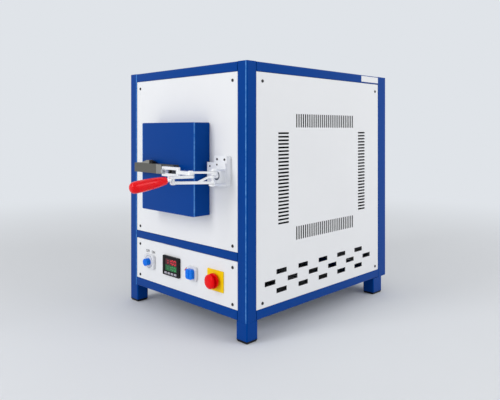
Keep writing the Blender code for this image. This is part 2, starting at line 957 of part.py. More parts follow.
gear_floor = bottom_panel_low + panel_thickness + gap
gear_y = front_y + gear_setback


def centred(name, centre, size, surface=None):
    """A box by the centre of its base."""
    half_x, half_y = size[0] / 2, size[1] / 2
    low = (centre[0] - half_x, centre[1] - half_y, centre[2])
    high = (centre[0] + half_x, centre[1] + half_y, centre[2] + size[2])
    return box(name, low, high, surface)


control_gear = centred("control_gear", (0, gear_y, gear_floor), gear_plate, plain_steel)
gear_sink = gap / 2
sink_base = gear_floor + gear_plate[2] - gear_sink
join(control_gear, centred("sink_base", (-gear_half_spacing, gear_y, sink_base), sink_size))
for index in range(fin_count):
    fin_x = -gear_half_spacing + (index - (fin_count - 1) / 2) * fin_pitch
    fin_size = (fin_thickness, sink_size[1], fin_height + gear_sink)
    fin_place = (fin_x, gear_y, sink_base + sink_size[2] - gear_sink)
    join(control_gear, centred(f"fin_{index}", fin_place, fin_size))
relay_base = sink_base + sink_size[2] + fin_height - 2 * gear_sink
join(control_gear, centred("relay_body", (-gear_half_spacing, gear_y, relay_base), relay_size))
terminals = centred("terminal_body", (gear_half_spacing, gear_y, sink_base), terminal_size)
for index in range(1, terminal_ways):
    groove_y = gear_y + (index / terminal_ways - 1 / 2) * terminal_size[1]
    groove = box(
        f"terminal_groove_{index}",
        (
            gear_half_spacing - terminal_size[0],
            groove_y - terminal_groove / 2,
            sink_base + terminal_size[2] - terminal_groove_depth,
        ),
        (
            gear_half_spacing + terminal_size[0],
            groove_y + terminal_groove / 2,
            sink_base + terminal_size[2] + overrun,
        ),
    )
    cut(terminals, groove)
join(control_gear, terminals)


# Cable gland

gland_place = (gland_side, rear_y - panel_recess, gland_rise)
gland_way = rod(
    "gland_way",
    (gland_side, gland_place[1] - panel_thickness - overrun, gland_rise),
    (gland_side, gland_place[1] + overrun, gland_rise),
    gland_thread_radius + gap,
    segments=gland_segments,
)
cut(rear_panel, gland_way)
gland_end = gland_flange_length + gland_nut_length
gland_profile = [
    (gland_bore, gland_end),
    (gland_dome_radius - gland_bore / 2, gland_end),
    (gland_dome_radius, gland_end - gland_bore / 2),
    (gland_dome_radius, gland_flange_length + gap),
    (gland_nut_radius, gland_flange_length - gap),
    (gland_nut_radius, gap),
    (gland_thread_radius, gap),
    (gland_thread_radius, -gland_inside_length),
    (gland_bore, -gland_inside_length),
]
turned("cable_gland", gland_profile, gland_place, (0, 1, 0), black_plastic, gland_segments, ring=True)


# Door

door_low = chamber_centre_height - door_height / 2
door_high = chamber_centre_height + door_height / 2
door_back_y = panel_front_y - door_seat
door_front_y = out(door_stand)
door_shell = shell(
    "door_shell",
    (-door_half, door_front_y, door_low),
    (door_half, door_back_y, door_high),
    door_sheet, blue_paint, axis=1, open_low=False, corner=door_edge,
)
block_half = door_half - door_sheet - gap
door_insulation = box(
    "door_insulation",
    (-block_half, door_front_y + door_sheet + gap, door_low + door_sheet + gap),
    (block_half, door_back_y, door_high - door_sheet - gap),
    fibre,
)
bevel_along(door_insulation.data, 1, door_edge)
plug_half = chamber_width / 2 - plug_side_clearance
plug = box(
    "door_plug",
    (-plug_half, door_back_y - overrun, chamber_low + plug_height_clearance),
    (plug_half, door_back_y + plug_depth, chamber_high - plug_height_clearance),
)
join(door_insulation, plug)


# Door arm and hinge

arm_low = chamber_centre_height - arm_drop
arm_high = arm_low + arm_height
arm_back_y = door_front_y - gap
arm_front_y = out(arm_stand)
hinge_y = out(hinge_stand)
door_arm = shell(
    "door_arm",
    (arm_corner, arm_front_y, arm_low),
    (arm_free_end, arm_back_y, arm_high),
    arm_wall, grey_steel, axis=0, open_high=True, open_low=False,
)
return_leg = box(
    "arm_return",
    (arm_corner + gap / 2, arm_back_y - arm_wall / 2, arm_low + gap / 2),
    (arm_corner + arm_wall + gap / 2, hinge_y + knuckle_radius / 2, arm_high - gap / 2),
)
knuckle = rod(
    "arm_knuckle", (hinge_x, hinge_y, arm_low), (hinge_x, hinge_y, arm_high), knuckle_radius, segments=24
)
pin_way = rod(
    "pin_way",
    (hinge_x, hinge_y, arm_low - overrun),
    (hinge_x, hinge_y, arm_high + overrun),
    pin_radius + gap,
    segments=24,
)
arm_mouth = box(
    "arm_mouth",
    (arm_open_from, arm_front_y - overrun, arm_low + arm_wall),
    (arm_free_end + overrun, arm_back_y - arm_wall, arm_high - arm_wall),
)
join(door_arm, return_leg, knuckle)
cut(door_arm, pin_way, arm_mouth)
door_buffer = box(
    "door_buffer",
    (arm_free_end - buffer_length, arm_front_y - buffer_proud, arm_low + arm_wall - gap),
    (arm_free_end - gap, arm_back_y - arm_wall + gap, arm_high - arm_wall + gap),
)
join(door_arm, door_buffer)

hinge_low = arm_low - gap - ear_thickness
hinge_high = arm_high + gap + ear_thickness
hinge_plate_back_y = panel_front_y - gap
hinge_plate_front_y = hinge_plate_back_y - hinge_plate_thickness
hinge_outer_x = hinge_x - hinge_ear_radius
hinge_bracket = box(
    "hinge_bracket",
    (
        hinge_outer_x - hinge_plate_width + 2 * hinge_ear_radius,
        hinge_plate_front_y,
        hinge_low - hinge_plate_margin,
    ),
    (hinge_x + hinge_ear_radius, hinge_plate_back_y, hinge_high + hinge_plate_margin),
    grey_steel,
)
for level, low_z in (("lower", hinge_low), ("upper", arm_high + gap)):
    ear = box(
        f"hinge_ear_{level}",
        (hinge_x - hinge_ear_radius, hinge_y, low_z),
        (hinge_x + hinge_ear_radius, hinge_plate_front_y + hinge_plate_thickness / 2, low_z + ear_thickness),
    )
    nose = rod(
        f"hinge_nose_{level}",
        (hinge_x, hinge_y, low_z),
        (hinge_x, hinge_y, low_z + ear_thickness),
        hinge_ear_radius,
        segments=24,
    )
    join(hinge_bracket, ear, nose)
hinge_pin = rod(
    "hinge_pin_body",
    (hinge_x, hinge_y, hinge_low + ear_thickness / 2),
    (hinge_x, hinge_y, hinge_high + pin_head_height),
    pin_radius,
    segments=24,
)
join(hinge_bracket, hinge_pin)


# Clamp block, base and ears

block_back = -panel_recess + gap
block_front = block_back + block_thickness
clamp_block = face_plate(
    "clamp_block", arm_pivot[0] + block_offset, clamp_height + block_rise,
    block_width, block_height, block_corner, block_back, block_front, zinc,
)
bevel(clamp_block, bezel_edge, segments=2, angle=60)
flange_back = block_front + gap
flange_front = flange_back + flange_thickness
clamp_base = box(
    "clamp_base",
    (arm_pivot[0] - flange_left, out(flange_front), clamp_height + flange_rise - flange_height / 2),
    (arm_pivot[0] + flange_right, out(flange_back), clamp_height + flange_rise + flange_height / 2),
    zinc,
)
ear_root = (arm_pivot[0], flange_front - flange_thickness / 2 + base_ear_radius)
upper_ear_low = clamp_high - base_ear_thickness
lower_ear_high = clamp_low + base_ear_thickness
for level, low_z, tip in (("upper", upper_ear_low, arm_pivot), ("lower", clamp_low, link_pivot)):
    high_z = low_z + base_ear_thickness
    root_half = base_ear_radius - gap / 2
    root_box = box(
        f"ear_root_{level}",
        (ear_root[0] - root_half, out(ear_root[1]), low_z + gap / 2),
        (ear_root[0] + root_half, out(flange_front - flange_thickness / 2), high_z - gap / 2),
    )
    ear = plate(f"ear_{level}", strap(ear_root, tip, base_ear_radius), low_z, high_z)
    join(clamp_base, root_box, ear)


def upright(name, place, low, high, radius):
    """A pin cutter or body along +Z at an (x, stand) place."""
    return rod(name, (place[0], out(place[1]), low), (place[0], out(place[1]), high), radius, segments=20)


clamp_arm_high = upper_ear_low - layer_gap
clamp_arm_low = clamp_arm_high - clamp_arm_thickness
link_low = lower_ear_high + layer_gap
link_high = link_low + link_thickness
handle_high = clamp_arm_low - layer_gap
handle_low = handle_high - handle_thickness

join(
    clamp_base,
    upright("arm_pivot_pin", arm_pivot, clamp_arm_low, clamp_high + rivet_head_height, clamp_pin_radius),
    upright(
        "arm_pivot_head", arm_pivot, clamp_high - gap, clamp_high + rivet_head_height, rivet_head_radius
    ),
    upright("link_pivot_pin", link_pivot, clamp_low - rivet_head_height, handle_high, clamp_pin_radius),
)


# Clamp arm: a crank plate, a neck, and a beam with a long slot for the spindle

spindle_height = clamp_arm_high - spindle_drop
beam_low = spindle_height - beam_height / 2
beam_high = spindle_height + beam_height / 2
slot_half = spindle_radius + slot_clearance
spindle_place = (spindle_x, beam_root[1])
clamp_arm = plate(
    "clamp_arm", strap(spindle_place, beam_root, beam_radius), beam_low, spindle_height - slot_half, zinc,
)
bush_radius = clamp_arm_radius - gap
tip_boss = box(
    "tip_boss",
    (spindle_x - boss_width / 2, out(beam_root[1] + beam_radius - gap), beam_low + gap),
    (spindle_x + boss_width / 2, out(beam_root[1] - beam_radius + gap), beam_high - gap),
)
join(
    clamp_arm,
    plate("beam_upper", strap(spindle_place, beam_root, beam_radius), spindle_height + slot_half, beam_high),
    upright("beam_end", beam_root, beam_low + gap, beam_high - gap, beam_radius - gap / 2),
    tip_boss,
    plate("arm_neck", strap(beam_root, handle_pivot, neck_radius), clamp_arm_low, clamp_arm_high - gap),
    plate("arm_crank", strap(arm_pivot, handle_pivot, clamp_arm_radius), clamp_arm_high - clamp_arm_plate,
          clamp_arm_high),
    upright("arm_bush", arm_pivot, clamp_arm_low, clamp_arm_high - gap, bush_radius),
    upright("neck_bush", handle_pivot, clamp_arm_low + gap / 2, clamp_arm_high - gap / 2, bush_radius),
    upright("handle_pin", handle_pivot, handle_low, clamp_arm_high + rivet_head_height, clamp_pin_radius),
    upright("handle_pin_head", handle_pivot, clamp_arm_high - gap, clamp_arm_high + rivet_head_height,
            rivet_head_radius),
)
cut(
    clamp_arm,
    upright(
        "arm_pivot_way", arm_pivot, clamp_arm_low - overrun, clamp_arm_high + overrun, clamp_pin_radius + gap
    ),
    rod(
        "spindle_way",
        (spindle_x, out(beam_root[1] - beam_radius - overrun), spindle_height),
        (spindle_x, out(beam_root[1] + beam_radius + overrun), spindle_height),
        spindle_radius + gap,
        segments=20,
    ),
)


# Spindle, its pad and its lock nuts

def spindle_rod(name, low_stand, high_stand, radius, surface=None, segments=20):
    return rod(
        name, (spindle_x, out(low_stand), spindle_height), (spindle_x, out(high_stand), spindle_height),
        radius, surface, segments=segments,
    )


pad_stand = arm_stand + buffer_proud + gap
boss_low_stand = beam_root[1] - beam_radius
boss_high_stand = beam_root[1] + beam_radius
clamp_spindle = spindle_rod("clamp_spindle", pad_stand, spindle_stand_top, spindle_radius, plain_steel)
join(
    clamp_spindle,
    spindle_rod("spindle_pad", pad_stand, pad_stand + spindle_pad_length, spindle_pad_radius, segments=24),
    spindle_rod("nut_below", boss_low_stand - gap - low_nut_length, boss_low_stand - gap, spindle_nut_radius,
                segments=6),
    spindle_rod("nut_above", boss_high_stand + gap,
                boss_high_stand + gap + spindle_nut_length, spindle_nut_radius,
                segments=6),
)


# Link and handle

clamp_link = plate("clamp_link", strap(link_pivot, link_pin, link_radius), link_low, link_high, zinc)
join(
    clamp_link,
    upright("open_pin", link_pin, link_low - rivet_head_height, handle_high - gap, clamp_pin_radius),
    upright("open_pin_head", link_pin, link_low - rivet_head_height, link_low + gap, rivet_head_radius),
)


def along_link(distance, side):
    """The (x, y) of a place on the link, from its open pin towards its pivot, and to one side."""
    start = Vector((link_pin[0], out(link_pin[1])))
    run = (Vector((link_pivot[0], out(link_pivot[1]))) - start).normalized()
    return start + run * distance + Vector((-run.y, run.x)) * side


def brace(name, low, high, thickness, foot, top, width):
    """A strip that climbs from the link's top to a height, then runs level to the link's pivot."""
    end = (Vector(link_pivot) - Vector(link_pin)).length
    line = ((foot, low), (top, high), (end, high))
    bm = bmesh.new()
    rows = []
    for distance, height in line:
        for side in (-width / 2, width / 2):
            place = along_link(distance, side)
            rows.append((place.x, place.y, height))
    upper = [bm.verts.new((x, y, z)) for x, y, z in rows]
    under = [bm.verts.new((x, y, z - thickness)) for x, y, z in rows]
    for index in range(0, len(rows) - 2, 2):
        for layer in (upper, under):
            bm.faces.new((layer[index], layer[index + 1], layer[index + 3], layer[index + 2]))
        for edge in (0, 1):
            near, far = index + edge, index + edge + 2
            bm.faces.new((upper[near], upper[far], under[far], under[near]))
    for index in (0, len(rows) - 2):
        bm.faces.new((upper[index], upper[index + 1], under[index + 1], under[index]))
    bmesh.ops.recalc_face_normals(bm, faces=bm.faces)
    mesh = bpy.data.meshes.new(name)
    bm.to_mesh(mesh)
    bm.free()
    return add(name, mesh, None, cutters, (0, 0, 0))


brace_high = handle_high - gap
join(
    clamp_link,
    brace("link_brace", link_high, brace_high, brace_thickness, brace_foot, brace_top, brace_width),
    upright("brace_eye", link_pivot, brace_high - brace_thickness, brace_high + gap / 2, link_radius - gap),
)
cut(
    clamp_link,
    upright("link_pivot_way", link_pivot, link_low - overrun, brace_high + overrun, clamp_pin_radius + gap),
)

grip_direction = Vector((0, -math.cos(grip_droop), -math.sin(grip_droop)))
shank_height = (handle_low + handle_high) / 2 - shank_drop
shank_start = Vector((handle_end[0], out(shank_start_stand), shank_height))
handle_plan = strap(handle_pivot, link_pin, handle_radius)
clamp_handle = plate("clamp_handle", handle_plan, handle_low, handle_high, zinc)
join(
    clamp_handle,
    plate("handle_root", strap(link_pin, handle_end, handle_radius), handle_low, handle_high),
    rod("shank", shank_start, shank_start + shank_length * grip_direction, shank_radius, segments=20),
)
cut(
    clamp_handle,
    upright("handle_way", handle_pivot, handle_low - overrun, handle_high + overrun, clamp_pin_radius + gap),
    upright("open_way", link_pin, handle_low - overrun, handle_high + overrun,
            clamp_pin_radius + open_pivot_clearance),
)

run_to_grip = (grip_start_stand - shank_start_stand) / math.cos(grip_droop)
grip_length = (grip_reach - grip_start_stand) / math.cos(grip_droop)
grip_start = shank_start + run_to_grip * grip_direction
grip_bore = shank_radius + gap
grip_profile = []
for radius_share, length_share in grip_shares:
    grip_profile.append((grip_radius * radius_share, grip_length * length_share))
grip_profile += [
    (grip_bore, 0),
    (grip_bore, shank_length - run_to_grip + gap),
    (0, shank_length - run_to_grip + gap),
]
turned("clamp_grip", grip_profile, grip_start, grip_direction, red_grip, grip_segments)


# Rotary switches

seat_stand = gap - panel_recess
panel_back_stand = -panel_recess - panel_thickness - gap


def front_rod(name, x, z, low_stand, high_stand, radius, surface=None, segments=knob_segments):
    """A cylinder square to the front between two stands."""
    return rod(name, (x, out(low_stand), z), (x, out(high_stand), z), radius, surface, segments=segments)


def switch(name, x, z, width, height):
    """A bezel with its threaded barrel and body behind the control panel, bored for the knob's shaft."""
    bezel_front = seat_stand + bezel_thickness
    bezel = face_plate(name, x, z, width, height, bezel_corner, seat_stand, bezel_front, grey_plastic)
    bevel(bezel, bezel_edge)
    barrel = front_rod(name + "_barrel", x, z, seat_stand - barrel_length, seat_stand + gap, barrel_radius)
    half = switch_body_side / 2
    body = box(
        name + "_body",
        (x - half, out(panel_back_stand), z - half),
        (x + half, out(panel_back_stand - switch_body_length), z + half),
    )
    join(bezel, barrel, body)
    bore_end = bezel_front - knob_shaft_length - gap
    cut(bezel, front_rod(name + "_bore", x, z, bore_end, bezel_front + overrun, knob_shaft_radius + gap))
    cut(
        control_panel,
        front_rod(name + "_way", x, z, -panel_thickness - overrun, overrun, barrel_radius + gap),
    )
    return bezel_front


def shaft(knob, x, z, bezel_front):
    join(
        knob,
        front_rod(knob.name + "_shaft", x, z, bezel_front - knob_shaft_length, bezel_front + 2 * gap,
                  knob_shaft_radius),
    )


def ridge(knob, x, z, face_stand, length):
    half = knob_ridge_width / 2
    join(
        knob,
        box(
            knob.name + "_ridge",
            (x - half, out(face_stand + knob_ridge_height), z - length / 2),
            (x + half, out(face_stand - gap), z + length / 2),
        ),
    )


bezel_front = switch("power_switch_bezel", power_x, power_height, power_bezel_width, power_bezel_height)
power_face = bezel_front + gap + power_knob_length
power_knob = front_rod(
    "power_switch_knob", power_x, power_height, bezel_front + gap, power_face, power_knob_radius, blue_knob
)
shaft(power_knob, power_x, power_height, bezel_front)
ridge(power_knob, power_x, power_height, power_face, 2 * power_knob_radius - knob_ridge_width)

bezel_front = switch("selector_bezel", selector_x, selector_height, selector_bezel_side, selector_bezel_side)
selector_face = bezel_front + gap + selector_knob_length
selector_knob = face_plate(
    "selector_knob", selector_x, selector_height,
    selector_knob_side, selector_knob_side, selector_knob_corner,
    bezel_front + gap, selector_face, blue_knob,
)
shaft(selector_knob, selector_x, selector_height, bezel_front)
ridge(selector_knob, selector_x, selector_height, selector_face, selector_knob_side - 2 * knob_ridge_width)


# Temperature controller and its keys

def upright_box(name, x, z, width, height, low_stand, high_stand, surface=None):
    """A box square to the front, by its middle and its two stands."""
    return box(
        name,
        (x - width / 2, out(high_stand), z - height / 2),
        (x + width / 2, out(low_stand), z + height / 2),
        surface,
    )


controller = face_plate(
    "controller", controller_x, controller_centre, controller_width, controller_height, controller_corner,
    seat_stand, controller_stand, black_plastic,
)
join(
    controller,
    upright_box(
        "controller_body", controller_x, controller_centre, controller_body_width, controller_body_height,
        seat_stand - controller_body_length, seat_stand + gap,
    ),
)
cut(
    controller,
    upright_box(
        "controller_window", controller_x, controller_centre + window_rise, window_width, window_height,
        controller_stand - window_depth, controller_stand + overrun,
    ),
)
cut(
    control_panel,
    upright_box(
        "controller_way", controller_x, controller_centre, controller_body_width + 2 * gap,
        controller_body_height + 2 * gap, -panel_thickness - overrun, overrun,
    ),
)
key_z = controller_centre - key_drop
for index in range(key_count):
    key_x = controller_x + (index - (key_count - 1) / 2) * key_pitch
    key = upright_box(
        f"key_{index + 1}", key_x, key_z, key_width, key_height,
        controller_stand - key_stem, controller_stand + key_stand, grey_plastic,
    )
    bevel(key, key_stand / 4)
    cut(
        controller,
        upright_box(
            f"key_way_{index + 1}", key_x, key_z, key_width + 2 * gap, key_height + 2 * gap,
            controller_stand - key_stem - key_travel - gap, controller_stand + overrun,
        ),
    )


# Emergency stop: plate and contact block, sliding stem, twisting head

plate_front = seat_stand + stop_plate_thickness
stop_plate = face_plate(
    "stop_plate", stop_x, stop_height, stop_plate_width, stop_plate_height, stop_plate_corner,
    seat_stand, plate_front, yellow_plate,
)
block_half_side = switch_body_side / 2
join(
    stop_plate,
    front_rod(
        "stop_barrel", stop_x, stop_height, seat_stand - barrel_length, seat_stand + gap, barrel_radius
    ),
    box(
        "stop_contacts",
        (stop_x - block_half_side, out(panel_back_stand), stop_height - block_half_side),
        (
            stop_x + block_half_side,
            out(panel_back_stand - switch_body_length),
            stop_height + block_half_side,
        ),
    ),
)
stem_back = plate_front - stem_inside_length
cut(
    stop_plate,
    front_rod("stem_way", stop_x, stop_height, stem_back - stop_travel - gap, overrun + plate_front,
              stem_radius + gap),
)
cut(
    control_panel,
    front_rod("stop_way", stop_x, stop_height, -panel_thickness - overrun, overrun, barrel_radius + gap),
)
collar_stand = plate_front + stop_travel + stem_rest_clearance
stem_front = collar_stand + stem_collar_length
stop_stem = front_rod(
    "stop_stem", stop_x, stop_height, stem_back, stem_front, stem_radius, red_button, stop_segments
)
join(
    stop_stem,
    front_rod("stem_collar", stop_x, stop_height, collar_stand, stem_front - gap, stem_collar_radius,
              segments=stop_segments),
)
cut(
    stop_stem,
    front_rod("spigot_way", stop_x, stop_height, stem_front - stop_spigot_length - gap, stem_front + overrun,
              stop_spigot_radius + gap),
)
head_profile = []
for radius_share, length_share in stop_head_shares:
    head_profile.append((stop_head_radius * radius_share, stop_head_length * length_share))
head_profile += [
    (stop_spigot_radius, 0),
    (stop_spigot_radius, -stop_spigot_length),
    (0, -stop_spigot_length),
]
turned(
    "stop_head", head_profile, (stop_x, out(stem_front + gap), stop_height), (0, -1, 0), red_button,
    stop_segments,
)
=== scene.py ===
import json
import math

import bmesh
import bpy
from mathutils import Matrix, Vector


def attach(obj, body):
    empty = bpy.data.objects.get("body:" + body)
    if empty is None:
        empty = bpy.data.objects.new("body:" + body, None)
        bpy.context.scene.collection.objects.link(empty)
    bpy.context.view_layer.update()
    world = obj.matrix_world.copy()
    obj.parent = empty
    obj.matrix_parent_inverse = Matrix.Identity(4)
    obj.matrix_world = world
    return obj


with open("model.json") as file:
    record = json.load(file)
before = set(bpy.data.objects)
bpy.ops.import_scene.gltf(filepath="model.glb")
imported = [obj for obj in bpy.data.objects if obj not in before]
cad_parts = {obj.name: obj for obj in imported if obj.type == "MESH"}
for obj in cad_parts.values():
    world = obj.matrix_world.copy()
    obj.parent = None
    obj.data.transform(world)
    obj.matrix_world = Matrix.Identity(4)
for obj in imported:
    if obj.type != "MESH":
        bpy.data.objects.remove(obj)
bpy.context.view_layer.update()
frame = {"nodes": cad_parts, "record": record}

nodes = frame["nodes"]
scene = bpy.context.scene
MM = 0.001
FRONT_FACE = -0.184     # y of the frame's front face
SIDE_SHEET = 0.225      # x of the right sheet's outer face
SHADE_START = 0.1655     # where the fibre board's painted shade, near black, begins, left and right
SHADE_BELOW = 0.22484    # x under which the right sheet gets painted shade, near black, instead of white paint
SHADE_BELOW_FADE = 0.0001
HIGHLIGHT_FADE = 0.0007      # how softly a painted highlight band begins and ends
HIGHLIGHT_FACE_FADE = 0.0008      # how softly a painted highlight band ends behind the front
SHEET_STAND = -1        # the front sheets' faces, in millimetres before the front face
BLOCK_STAND = 12.3
FLANGE_STAND = 15.6
ARM_LOW = 360.6         # the door arm's channel, bottom and top of what covers it
ARM_HIGH = 382.9
FRONT = Vector((0, -1, 0))
BACK = Vector((0, 1, 0))
RIGHT = Vector((1, 0, 0))
LEFT = Vector((-1, 0, 0))
UP = Vector((0, 0, 1))


def at(x, z, stand):
    """A point given in millimetres: across, up, and in front of the frame's front face."""
    return Vector((x * MM, FRONT_FACE - stand * MM, z * MM))


def srgb(r, g, b):
    def linear(v):
        v = v / 255
        return v / 12.92 if v <= 0.04045 else ((v + 0.055) / 1.055) ** 2.4
    return (linear(r), linear(g), linear(b), 1.0)


def scaled(colour, k):
    return tuple(min(1.0, c * k) for c in colour[:3]) + (1.0,)


# Materials

def add(tree, kind, **values):
    node = tree.nodes.new(kind)
    for socket, value in values.items():
        node.inputs[socket.replace("_", " ")].default_value = value
    return node


def texture(tree, kind, scale, stretch=None, **values):
    coord = tree.nodes.new("ShaderNodeTexCoord")
    tex = add(tree, kind, Scale=scale, **values)
    if stretch:
        mapping = add(tree, "ShaderNodeMapping", Scale=stretch)
        tree.links.new(coord.outputs["Object"], mapping.inputs["Vector"])
        tree.links.new(mapping.outputs["Vector"], tex.inputs["Vector"])
    else:
        tree.links.new(coord.outputs["Object"], tex.inputs["Vector"])
    return tex


def ramp(tree, factor, stops):
    node = tree.nodes.new("ShaderNodeValToRGB")
    line = node.color_ramp
    while len(line.elements) < len(stops):
        line.elements.new(0.5)
    for element, (place, colour) in zip(line.elements, stops):
        element.position = place
        element.color = colour
    tree.links.new(factor, node.inputs["Fac"])
    return node.outputs["Color"]


def span(tree, value, low, high, start=0.3, end=0.7):
    node = tree.nodes.new("ShaderNodeMapRange")
    node.inputs["From Min"].default_value = start
    node.inputs["From Max"].default_value = end
    node.inputs["To Min"].default_value = low
    node.inputs["To Max"].default_value = high
    tree.links.new(value, node.inputs["Value"])
    return node.outputs["Result"]


def object_axes(tree):
    """The object's own coordinates, split into X, Y and Z."""
    coord = tree.nodes.new("ShaderNodeTexCoord")
    axes = tree.nodes.new("ShaderNodeSeparateXYZ")
    tree.links.new(coord.outputs["Object"], axes.inputs["Vector"])
    return axes


def size_of(tree, value):
    """The value without its sign, for a look that is the same left and right."""
    across = tree.nodes.new("ShaderNodeMath")
    across.operation = "ABSOLUTE"
    tree.links.new(value, across.inputs[0])
    return across.outputs["Value"]


def lay_over(tree, shader, out, mask, scale, low, high):
    """Base colour: out where the mask is 0, and an uneven colour from low to high where it is 1."""
    mix = tree.nodes.new("ShaderNodeMix")
    mix.data_type = "RGBA"
    uneven = texture(tree, "ShaderNodeTexNoise", scale, Detail=3.0)
    laid = ramp(tree, uneven.outputs["Fac"], [(0.3, low), (0.7, high)])
    tree.links.new(mask, mix.inputs["Factor"])
    tree.links.new(out, mix.inputs["A"])
    tree.links.new(laid, mix.inputs["B"])
    tree.links.new(mix.outputs["Result"], shader.inputs["Base Color"])


def product(tree, first, second):
    """The two values multiplied."""
    times = tree.nodes.new("ShaderNodeMath")
    times.operation = "MULTIPLY"
    tree.links.new(first, times.inputs[0])
    tree.links.new(second, times.inputs[1])
    return times.outputs["Value"]


def finish(name, colour, rough, mottle=0.05, mottle_scale=9, grain=1100, grain_depth=0.02, stretch=None,
           metallic=0.0, coat=0.0, specular=0.5, coat_rough=0.08, rough_spread=0.05, tint=(1, 1, 1)):
    """A painted, moulded or metal surface: slow colour drift, uneven gloss and a fine grain."""
    made = bpy.data.materials.new(name)
    made.use_nodes = True
    tree = made.node_tree
    shader = tree.nodes["Principled BSDF"]
    shader.inputs["Metallic"].default_value = metallic
    shader.inputs["Coat Weight"].default_value = coat
    shader.inputs["Coat Roughness"].default_value = coat_rough
    shader.inputs["Specular IOR Level"].default_value = specular
    shader.inputs["Specular Tint"].default_value = tuple(tint) + (1.0,)
    drift = texture(tree, "ShaderNodeTexNoise", mottle_scale, Detail=4.0)
    out = ramp(tree, drift.outputs["Fac"],
               [(0.3, scaled(colour, 1 - mottle)), (0.7, scaled(colour, 1 + mottle))])
    tree.links.new(out, shader.inputs["Base Color"])
    fine = texture(tree, "ShaderNodeTexNoise", grain, stretch, Detail=3.0)
    uneven = texture(tree, "ShaderNodeTexNoise", mottle_scale * 6, stretch, Detail=5.0)
    gloss = span(tree, uneven.outputs["Fac"], rough - rough_spread, rough + rough_spread)
    tree.links.new(gloss, shader.inputs["Roughness"])
    bump = add(tree, "ShaderNodeBump", Strength=0.6, Distance=grain_depth * MM)
    tree.links.new(fine.outputs["Fac"], bump.inputs["Height"])
    tree.links.new(bump.outputs["Normal"], shader.inputs["Normal"])
    return made, tree, shader, out


def lit(name, colour, strength):
    made, tree, shader, out = finish(name, colour, 0.4, mottle=0.12, mottle_scale=400)
    tree.links.new(out, shader.inputs["Emission Color"])
    shader.inputs["Emission Strength"].default_value = strength
    return made


BRUSHED = (1.0, 14.0, 14.0)
BLUE_SHEEN = (0.0, 0.3, 1.0)
RED_SHEEN = (1.0, 0.18, 0.16)
def blue(name):
    return finish(name, srgb(2, 62, 143), 0.3, mottle=0.03, mottle_scale=3, grain=1500, grain_depth=0.03,
                  specular=0.22, rough_spread=0.02, tint=BLUE_SHEEN)


looks = {
    "blue_paint": blue("frame_blue")[0],
    "white_paint": finish("sheet_white", srgb(238, 239, 241), 0.42, mottle=0.012, mottle_scale=4, grain=1700,
                          grain_depth=0.02, specular=0.3)[0],
    "black_plastic": finish("black_plastic", srgb(9, 9, 11), 0.4, mottle=0.15, grain=2600, grain_depth=0.03,
                            specular=0.18)[0],
    "zinc": finish("bright_zinc", srgb(249, 250, 252), 0.34, mottle=0.02, mottle_scale=60, grain=300,
                   grain_depth=0.004, metallic=0.34, rough_spread=0.04)[0],
    "grey_steel": finish("grey_steel", srgb(97, 96, 90), 0.42, mottle=0.07, mottle_scale=30, grain=900,
                         grain_depth=0.02, stretch=BRUSHED, metallic=0.3, rough_spread=0.08, specular=0.3)[0],
    "plain_steel": finish("plain_steel", srgb(188, 190, 194), 0.36, mottle=0.06, mottle_scale=30, grain=500,
                          grain_depth=0.01, stretch=BRUSHED, metallic=0.85, rough_spread=0.08)[0],
    "ceramic": finish("ceramic", srgb(214, 204, 186), 0.8, mottle=0.07, mottle_scale=60, grain=900,
                      grain_depth=0.15)[0],
    "heater_alloy": finish("heater_alloy", srgb(74, 68, 64), 0.55, mottle=0.2, mottle_scale=150, grain=1500,
                           grain_depth=0.05, metallic=0.5)[0],
    "red_grip": finish("red_grip", srgb(240, 3, 16), 0.15, mottle=0.05, mottle_scale=40, grain=1800,
                       grain_depth=0.02, specular=0.6, tint=(1.0, 0.3, 0.32))[0],
    "red_button": finish("red_button", srgb(240, 4, 14), 0.22, mottle=0.05, mottle_scale=60, grain=2400,
                         grain_depth=0.01, tint=RED_SHEEN)[0],
    "yellow_plate": finish("yellow_plate", srgb(252, 212, 8), 0.45, mottle=0.03, mottle_scale=40, grain=2200,
                           grain_depth=0.02, specular=0.3, tint=(1.0, 0.85, 0.2))[0],
    "blue_knob": finish("blue_knob", srgb(2, 118, 238), 0.28, mottle=0.06, mottle_scale=90, grain=2400,
                        grain_depth=0.01, tint=(0.12, 0.5, 1.0))[0],
    "grey_plastic": finish("light_grey_plastic", srgb(230, 231, 234), 0.38, mottle=0.03, mottle_scale=80,
                           grain=2400, grain_depth=0.02, specular=0.3)[0],
}
dark_metal = finish("blackened_steel", srgb(52, 51, 53), 0.35, mottle=0.2, mottle_scale=300, grain=1500,
                    grain_depth=0.02, metallic=0.6, rough_spread=0.1)[0]
rubber = finish("black_rubber", srgb(14, 14, 15), 0.7, mottle=0.2, mottle_scale=200, grain=2600,
                grain_depth=0.05, specular=0.3)[0]
key_face = finish("key_face", srgb(176, 172, 184), 0.45, mottle=0.06, mottle_scale=300, grain=3000,
                  grain_depth=0.01)[0]
print_ink = finish("dark_print", srgb(30, 34, 42), 0.6, mottle=0.15, mottle_scale=500, grain=3000,
                   grain_depth=0.005, specular=0.2)[0]
red_mark = finish("red_mark", srgb(200, 24, 60), 0.5, mottle=0.1, mottle_scale=500, grain=3000,
                  grain_depth=0.005, specular=0.2)[0]
# Painted shade for the flange dish's groove: dark grey-blue
dish_painted_shade = finish("dish_painted_shade", srgb(84, 94, 108), 0.45, mottle=0.25, mottle_scale=160, grain=1500,
                   grain_depth=0.02, metallic=0.3)[0]
ring_grey = finish("ring_grey", srgb(150, 154, 160), 0.4, mottle=0.04, mottle_scale=200, grain=2400,
                   grain_depth=0.01, specular=0.3)[0]
cover_steel = finish("cover_steel", srgb(142, 141, 135), 0.42, mottle=0.05, mottle_scale=60, grain=900,
                     grain_depth=0.02, stretch=BRUSHED, metallic=0.3, rough_spread=0.08, specular=0.3)[0]
digit_red = lit("digit_red", srgb(225, 22, 45), 0.8)
digit_green = lit("digit_green", srgb(60, 170, 90), 0.5)
